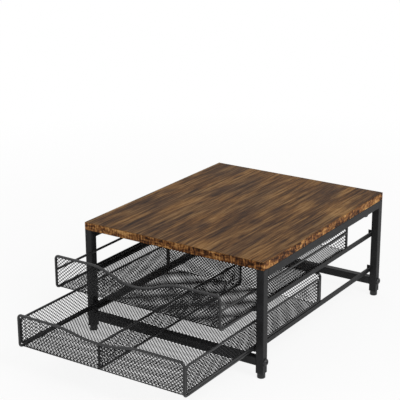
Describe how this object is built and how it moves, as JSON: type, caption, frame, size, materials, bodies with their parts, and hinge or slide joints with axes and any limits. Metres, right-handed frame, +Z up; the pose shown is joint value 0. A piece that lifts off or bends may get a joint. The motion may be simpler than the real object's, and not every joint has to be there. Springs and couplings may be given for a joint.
{
  "type": "coffee pod drawer",
  "caption": "Coffee pod drawer: a wood-topped square-tube stand with wire-framed mesh drawers, tier above tier, that slide out on angle rails.",
  "frame": {"origin": "on the surface the stand rests on, midway between its feet", "axes": "+X to the right as the user faces the drawers, +Y to the back along the drawers' travel, +Z up; the drawers open towards -Y"},
  "size_m": [0.3166, 0.5425, 0.175],
  "materials": {
    "board_wood": "satin",
    "stand_metal": "satin",
    "wire_metal": "satin",
    "mesh_metal": "satin",
    "screw_metal": "satin",
    "plain_steel": "satin",
    "insert_brass": "satin",
    "plug_plastic": "matte",
    "foot_plastic": "satin"
  },
  "bodies": {
    "stand": {"wood_board": "board_wood", "front_left_leg": "stand_metal", "front_right_leg": "stand_metal", "back_left_leg": "stand_metal", "back_right_leg": "stand_metal", "left_apron": "stand_metal", "right_apron": "stand_metal", "upper_left_rail": "stand_metal", "upper_right_rail": "stand_metal", "lower_left_rail": "stand_metal", "lower_right_rail": "stand_metal", "front_cross_bar": "stand_metal", "back_cross_bar": "stand_metal", "cross_bar_screws": "screw_metal", "cross_bar_plugs": "plain_steel", "board_screws": "screw_metal", "board_inserts": "insert_brass", "leg_plugs": "plug_plastic", "foot_glides": "foot_plastic", "foot_studs": "plain_steel"},
    "upper_drawer": {"upper_front_frame": "wire_metal", "upper_back_frame": "wire_metal", "upper_runners": "wire_metal", "upper_front_mesh": "mesh_metal", "upper_back_mesh": "mesh_metal", "upper_middle_wires": "wire_metal", "upper_floor_mesh": "mesh_metal"},
    "lower_drawer": {"lower_front_frame": "wire_metal", "lower_back_frame": "wire_metal", "lower_runners": "wire_metal", "lower_front_mesh": "mesh_metal", "lower_back_mesh": "mesh_metal", "lower_floor_mesh": "mesh_metal", "lower_left_side_frame": "wire_metal", "lower_left_side_mesh": "mesh_metal", "lower_right_side_frame": "wire_metal", "lower_right_side_mesh": "mesh_metal", "divider_frame": "wire_metal", "divider_mesh": "mesh_metal"}
  },
  "joints": [
    {"name": "upper_drawer_slide", "type": "slide", "parent": "stand", "child": "upper_drawer", "axis": [0, -1, 0], "range_m": [-0.0888, 0.1562]},
    {"name": "lower_drawer_slide", "type": "slide", "parent": "stand", "child": "lower_drawer", "axis": [0, -1, 0], "range_m": [-0.173, 0.072]}
  ]
}
